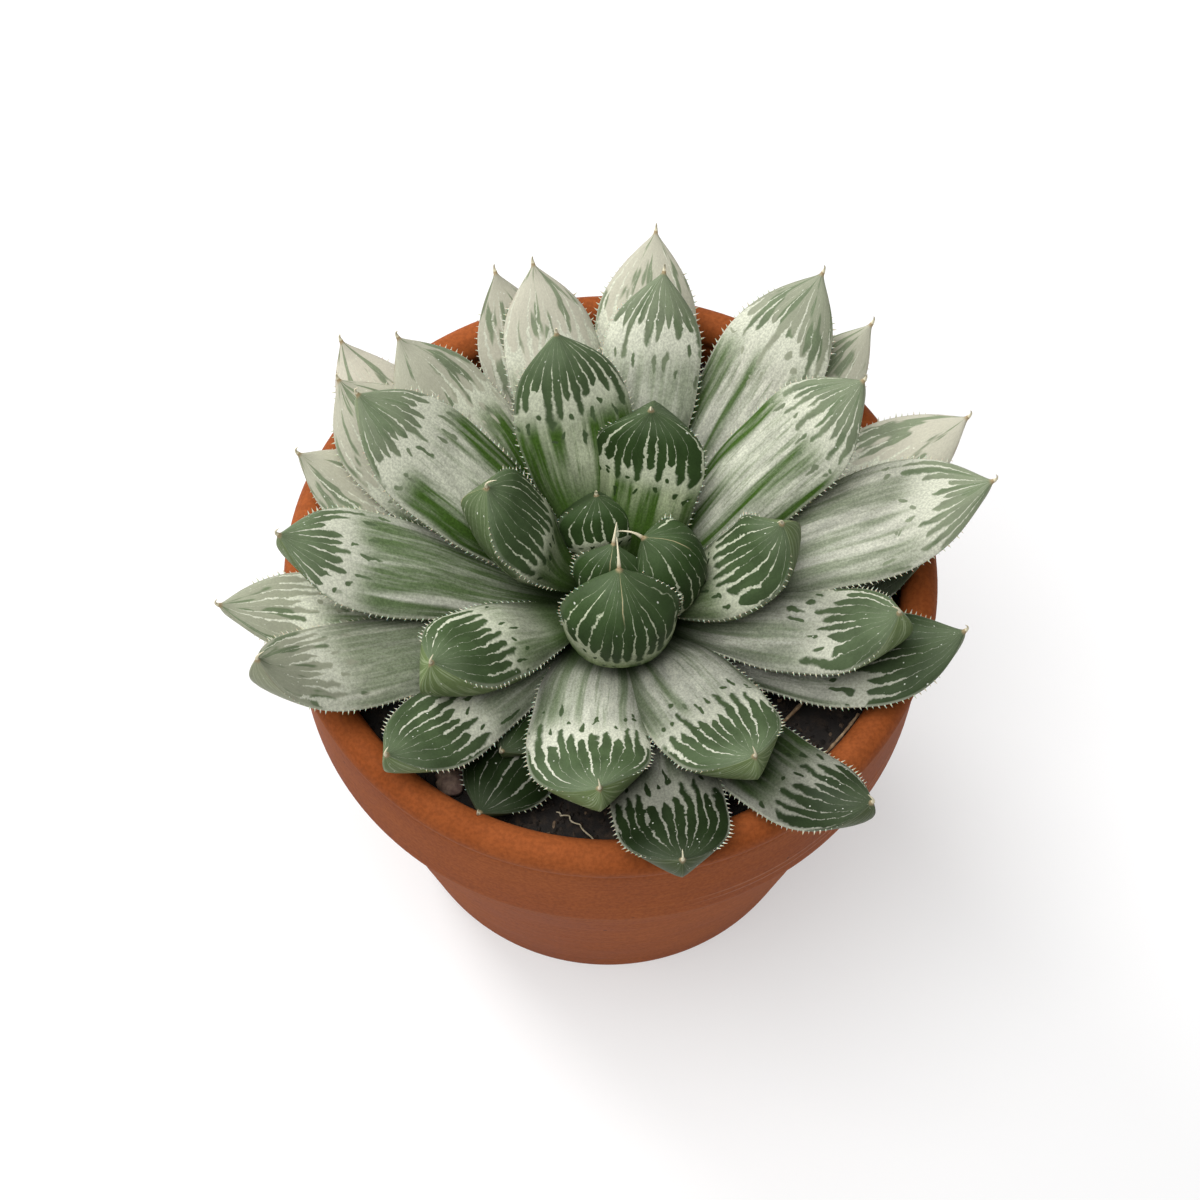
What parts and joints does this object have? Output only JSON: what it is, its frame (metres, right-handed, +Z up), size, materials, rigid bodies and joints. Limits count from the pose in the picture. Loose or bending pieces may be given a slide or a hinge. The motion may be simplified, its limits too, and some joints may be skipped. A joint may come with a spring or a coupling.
{
  "type": "potted haworthia",
  "caption": "Window haworthia, a dense rosette of thick pale-striped pointed leaves, in a small round terracotta pot filled with dark potting mix.",
  "frame": {"origin": "on the pot's axis, at the level of the surface that the pot stands on", "axes": "+Z up along the axis of the pot, -Y towards the viewer of the picture, +X to the right in the picture"},
  "size_m": [0.1218, 0.1144, 0.1102],
  "materials": {
    "terracotta": "unglazed fired clay, matt, with fine turning lines",
    "soil": "dark crumbly bark and peat potting mix",
    "leaf": "waxy fleshy leaf, pale with green streaks and a dark window end with cream veins",
    "stem": "fleshy plant tissue",
    "dry_matter": "dry brittle plant litter"
  },
  "bodies": {
    "root": {"pot": "terracotta", "stem_and_roots": "stem", "heart_leaf_1": "leaf", "heart_leaf_2": "leaf", "heart_leaf_3": "leaf", "heart_leaf_4": "leaf", "upper_leaf_1": "leaf", "upper_leaf_2": "leaf", "upper_leaf_3": "leaf", "upper_leaf_4": "leaf", "upper_leaf_5": "leaf", "middle_leaf_1": "leaf", "middle_leaf_2": "leaf", "middle_leaf_3": "leaf", "middle_leaf_4": "leaf", "middle_leaf_5": "leaf", "middle_leaf_6": "leaf", "middle_leaf_7": "leaf", "middle_leaf_8": "leaf", "middle_leaf_9": "leaf", "middle_leaf_10": "leaf", "middle_leaf_11": "leaf", "middle_leaf_12": "leaf", "middle_leaf_13": "leaf", "outer_leaf_1": "leaf", "outer_leaf_2": "leaf", "outer_leaf_3": "leaf", "outer_leaf_4": "leaf", "outer_leaf_5": "leaf", "outer_leaf_6": "leaf", "outer_leaf_7": "leaf", "outer_leaf_8": "leaf", "outer_leaf_9": "leaf", "outer_leaf_10": "leaf", "outer_leaf_11": "leaf", "outer_leaf_12": "leaf", "outer_leaf_13": "leaf", "outer_leaf_14": "leaf", "dry_twig_1": "dry_matter", "dry_twig_2": "dry_matter", "dry_leaf": "dry_matter", "soil": "soil"}
  },
  "joints": []
}
